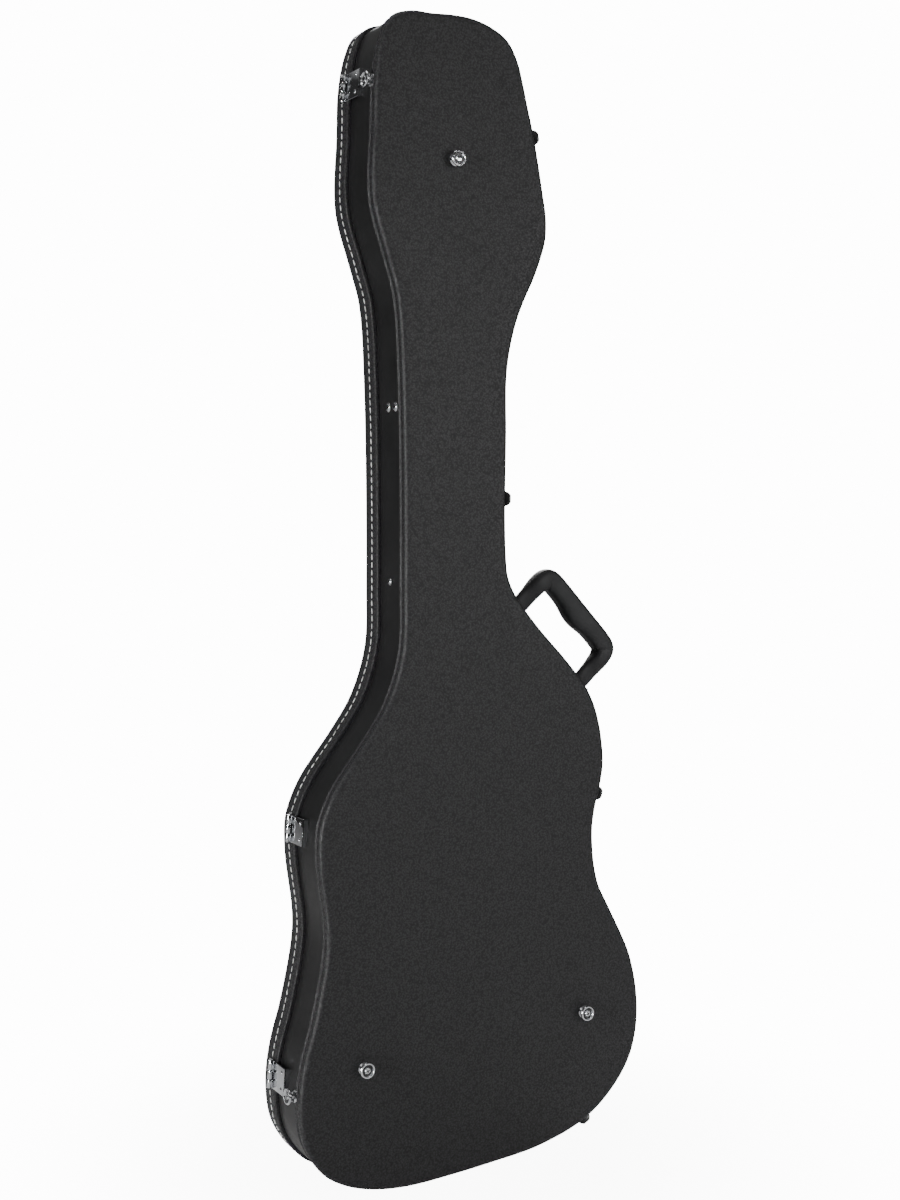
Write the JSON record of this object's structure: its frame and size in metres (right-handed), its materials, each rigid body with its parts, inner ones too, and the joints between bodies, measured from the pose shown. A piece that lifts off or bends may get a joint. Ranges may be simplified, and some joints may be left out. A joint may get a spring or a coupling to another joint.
{
  "type": "bass guitar hardshell case",
  "caption": "Shaped hardshell case for a bass guitar: base and lid on a slanted hinge line, draw latches, moulded handle, chrome feet, plush lining with a covered compartment.",
  "frame": {"origin": "middle of the case footprint at its lowest point, the tail of the shell", "axes": "+Z from the tail to the head along the length; +Y out of the back panel, so the lid faces -Y; +X towards the hinge side, -X towards the handle and latches"},
  "size_m": [0.4316, 0.114, 1.2313],
  "materials": {
    "grained_vinyl": "pebble-grained vinyl covering glued over thin plywood, satin",
    "smooth_vinyl": "smooth vinyl strip, low satin",
    "plush": "short-pile plush over foam",
    "chrome": "bright chrome plate on pressed and turned steel",
    "black_steel": "black enamel on pressed steel",
    "handle_moulding": "soft moulded grip, matt",
    "ribbon": "woven ribbon"
  },
  "bodies": {
    "base": {"back_panel": "grained_vinyl", "base_wall": "smooth_vinyl", "base_floor_lining": "plush", "side_lining_body": "plush", "side_lining_neck_hinge_side": "plush", "side_lining_neck_handle_side": "plush", "side_lining_head": "plush", "compartment_divider_tail": "plush", "compartment_divider_head": "plush", "neck_cradle": "plush", "hinge_1_base_leaf": "chrome", "hinge_1_pin": "chrome", "hinge_2_base_leaf": "chrome", "hinge_2_pin": "chrome", "hinge_3_base_leaf": "chrome", "hinge_3_pin": "chrome", "latch_1_plate": "chrome", "latch_2_plate": "chrome", "latch_3_plate": "chrome", "latch_4_plate": "chrome", "handle_bracket_head": "chrome", "handle_bracket_tail": "chrome", "back_foot_1": "chrome", "back_foot_2": "chrome", "back_foot_3": "chrome", "side_foot_1": "chrome", "side_foot_2": "chrome", "compartment_rivet_1": "chrome", "compartment_rivet_2": "chrome", "compartment_rivet_3": "chrome"},
    "lid": {"lid_rim": "grained_vinyl", "lid_top": "grained_vinyl", "lid_lining": "plush", "hinge_1_lid_leaf": "chrome", "hinge_2_lid_leaf": "chrome", "hinge_3_lid_leaf": "chrome", "latch_1_keeper": "chrome", "latch_2_keeper": "chrome", "latch_3_keeper": "chrome", "latch_4_keeper": "chrome"},
    "handle": {"handle": "handle_moulding"},
    "compartment_lid": {"compartment_lid": "plush", "compartment_pull_tab": "ribbon"},
    "latch_1_lever": {"latch_1_lever": "black_steel"},
    "latch_1_bail": {"latch_1_bail": "chrome"},
    "latch_2_lever": {"latch_2_lever": "black_steel"},
    "latch_2_bail": {"latch_2_bail": "chrome"},
    "latch_3_lever": {"latch_3_lever": "black_steel"},
    "latch_3_bail": {"latch_3_bail": "chrome"},
    "latch_4_lever": {"latch_4_lever": "black_steel"},
    "latch_4_bail": {"latch_4_bail": "chrome"}
  },
  "joints": [
    {"name": "lid_hinge", "type": "hinge", "parent": "base", "child": "lid", "pos_m": [0.18894, -0.023, 0.38402], "axis": [-0.0866, 0, 0.9962], "range_deg": [0, 105]},
    {"name": "handle_swing", "type": "hinge", "parent": "base", "child": "handle", "pos_m": [-0.11023, 0.013, 0.5649], "axis": [-0.6858, 0, -0.7278], "range_deg": [-73, 73]},
    {"name": "compartment_lid_hinge", "type": "hinge", "parent": "base", "child": "compartment_lid", "pos_m": [0.0628, -0.0043, 0.73502], "axis": [0, 0, 1], "range_deg": [0, 93]},
    {"name": "latch_1_lever_hinge", "type": "hinge", "parent": "base", "child": "latch_1_lever", "pos_m": [-0.07462, -0.0066, 1.1191], "axis": [0.2245, 0, 0.9745], "range_deg": [0, 150]},
    {"name": "latch_1_bail_hinge", "type": "hinge", "parent": "latch_1_lever", "child": "latch_1_bail", "pos_m": [-0.07754, 0.0034, 1.11977], "axis": [0.2245, 0, 0.9745], "range_deg": [-150, 0]},
    {"name": "latch_2_lever_hinge", "type": "hinge", "parent": "base", "child": "latch_2_lever", "pos_m": [-0.03997, -0.0066, 0.73089], "axis": [-0.0128, 0, 0.9999], "range_deg": [0, 150]},
    {"name": "latch_2_bail_hinge", "type": "hinge", "parent": "latch_2_lever", "child": "latch_2_bail", "pos_m": [-0.04297, 0.0034, 0.73086], "axis": [-0.0128, 0, 0.9999], "range_deg": [-150, 0]},
    {"name": "latch_3_lever_hinge", "type": "hinge", "parent": "base", "child": "latch_3_lever", "pos_m": [-0.16269, -0.0066, 0.39971], "axis": [-0.2729, 0, 0.9621], "range_deg": [0, 150]},
    {"name": "latch_3_bail_hinge", "type": "hinge", "parent": "latch_3_lever", "child": "latch_3_bail", "pos_m": [-0.16558, 0.0034, 0.39889], "axis": [-0.2729, 0, 0.9621], "range_deg": [-150, 0]},
    {"name": "latch_4_lever_hinge", "type": "hinge", "parent": "base", "child": "latch_4_lever", "pos_m": [-0.14935, -0.0066, 0.03039], "axis": [-0.8706, 0, 0.492], "range_deg": [0, 150]},
    {"name": "latch_4_bail_hinge", "type": "hinge", "parent": "latch_4_lever", "child": "latch_4_bail", "pos_m": [-0.15083, 0.0034, 0.02778], "axis": [-0.8706, 0, 0.492], "range_deg": [-150, 0]}
  ],
  "couplings": [
    {"joint": "compartment_lid_hinge", "follows": "lid_hinge", "ratio": 0.88},
    {"joint": "latch_1_bail_hinge", "follows": "latch_1_lever_hinge", "ratio": -1},
    {"joint": "latch_2_bail_hinge", "follows": "latch_2_lever_hinge", "ratio": -1},
    {"joint": "latch_3_bail_hinge", "follows": "latch_3_lever_hinge", "ratio": -1},
    {"joint": "latch_4_bail_hinge", "follows": "latch_4_lever_hinge", "ratio": -1}
  ]
}
